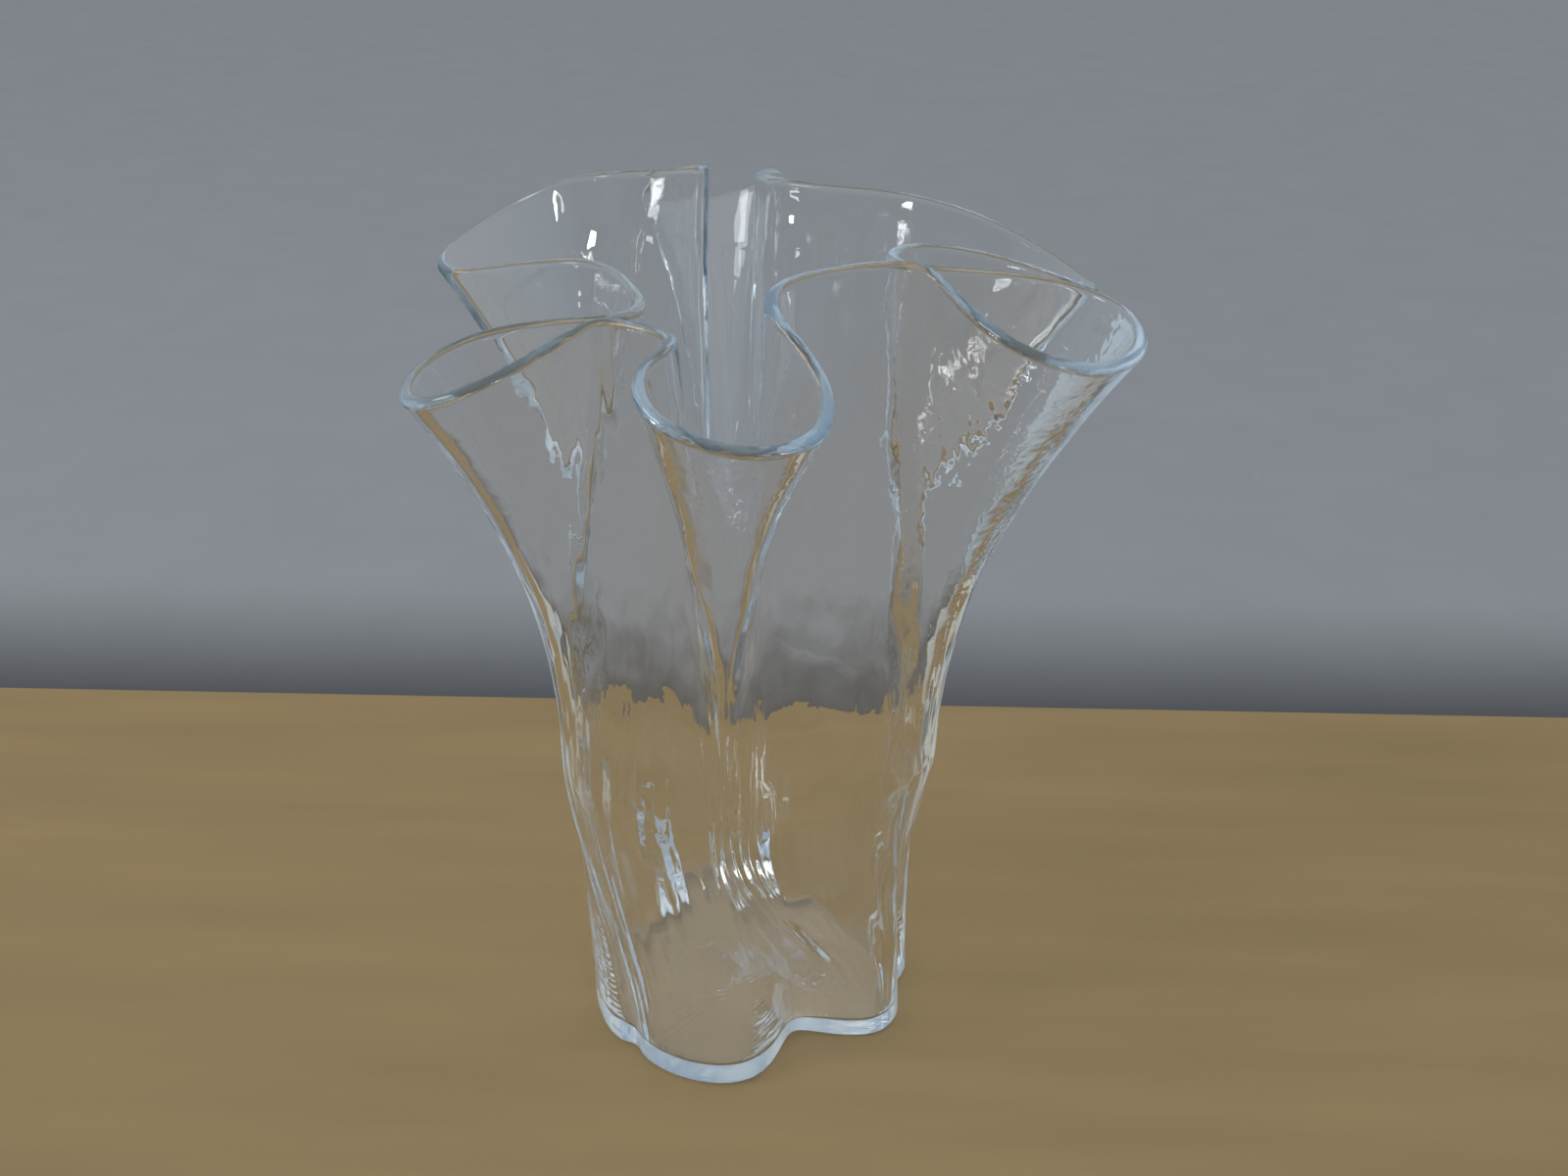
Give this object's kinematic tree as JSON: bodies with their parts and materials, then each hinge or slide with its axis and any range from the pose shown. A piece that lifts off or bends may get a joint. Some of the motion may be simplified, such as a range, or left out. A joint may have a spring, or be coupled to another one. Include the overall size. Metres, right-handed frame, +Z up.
{
  "type": "handkerchief vase",
  "caption": "Clear glass vase with a fluted foot and a wavy mouth like a gathered handkerchief, to hold flowers and water.",
  "frame": {"origin": "on the flat underside of the foot, near its middle, where the vase stands", "axes": "+Z up out of the mouth, -Y towards the front funnel, +X to the right of it"},
  "size_m": [0.1875, 0.1908, 0.252],
  "materials": {
    "clear_glass": "fire-polished clear glass with a faint blue-green tint in thick edges and soft ripples"
  },
  "bodies": {
    "root": {"vase": "clear_glass"}
  },
  "joints": []
}
